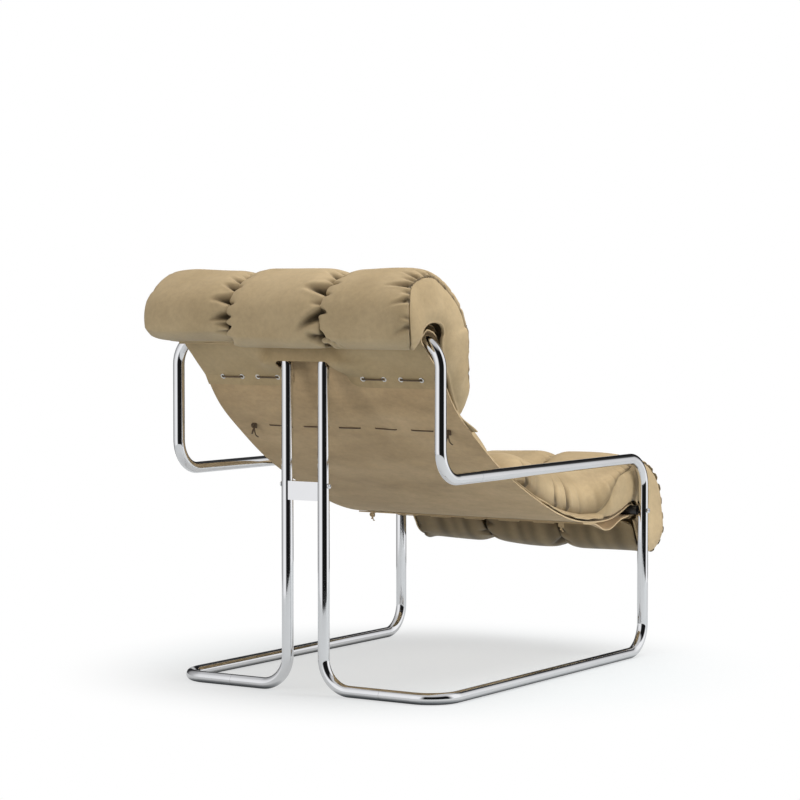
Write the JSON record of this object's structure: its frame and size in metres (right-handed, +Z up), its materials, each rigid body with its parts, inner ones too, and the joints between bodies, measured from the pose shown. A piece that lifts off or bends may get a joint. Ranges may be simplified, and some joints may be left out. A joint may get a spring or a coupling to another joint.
{
  "type": "upholstered lounge chair",
  "caption": "Lounge chair with a bent chrome tube frame, a laced leather sling and a quilted leather pad that rolls over the top tube and the seat rail",
  "frame": {"origin": "centre of the bounding box in plan, on the floor", "axes": "the sitter faces -Y, +Z is up and the sitter's left is +X"},
  "size_m": [0.7056, 1.1636, 0.9017],
  "materials": {
    "chrome": "polished",
    "black_steel": "satin black",
    "nickel": "nickel plated",
    "sling_leather": "suede on the outside, smooth flap",
    "pad_leather": "soft matt grain",
    "cord_leather": "dark lace"
  },
  "bodies": {
    "root": {"left_back_tube": "chrome", "left_side_tube": "chrome", "left_arm_join_plug": "black_steel", "left_floor_join_plug": "black_steel", "right_back_tube": "chrome", "right_side_tube": "chrome", "right_arm_join_plug": "black_steel", "right_floor_join_plug": "black_steel", "post_spacer": "chrome", "left_post_bolt": "chrome", "left_rail_bolt": "chrome", "left_rail_plug": "black_steel", "right_post_bolt": "chrome", "right_rail_bolt": "chrome", "right_rail_plug": "black_steel", "seat_rail": "black_steel", "sling": "sling_leather", "lacing_strap": "pad_leather", "eyelet_left_1": "nickel", "eyelet_left_2": "nickel", "eyelet_left_3": "nickel", "eyelet_left_4": "nickel", "eyelet_right_1": "nickel", "eyelet_right_2": "nickel", "eyelet_right_3": "nickel", "eyelet_right_4": "nickel", "upper_lacing_left": "cord_leather", "upper_lacing_right": "cord_leather", "lower_lacing": "cord_leather", "underseat_lacing": "cord_leather", "head_puff_left": "pad_leather", "head_puff_middle": "pad_leather", "head_puff_right": "pad_leather", "back_puff_left": "pad_leather", "back_puff_middle": "pad_leather", "back_puff_right": "pad_leather", "seat_puff_left": "pad_leather", "seat_puff_middle": "pad_leather", "seat_puff_right": "pad_leather", "head_end_panel_left": "pad_leather", "seat_end_panel_left": "pad_leather", "head_end_panel_right": "pad_leather", "seat_end_panel_right": "pad_leather", "pad_backing": "pad_leather"}
  },
  "joints": []
}
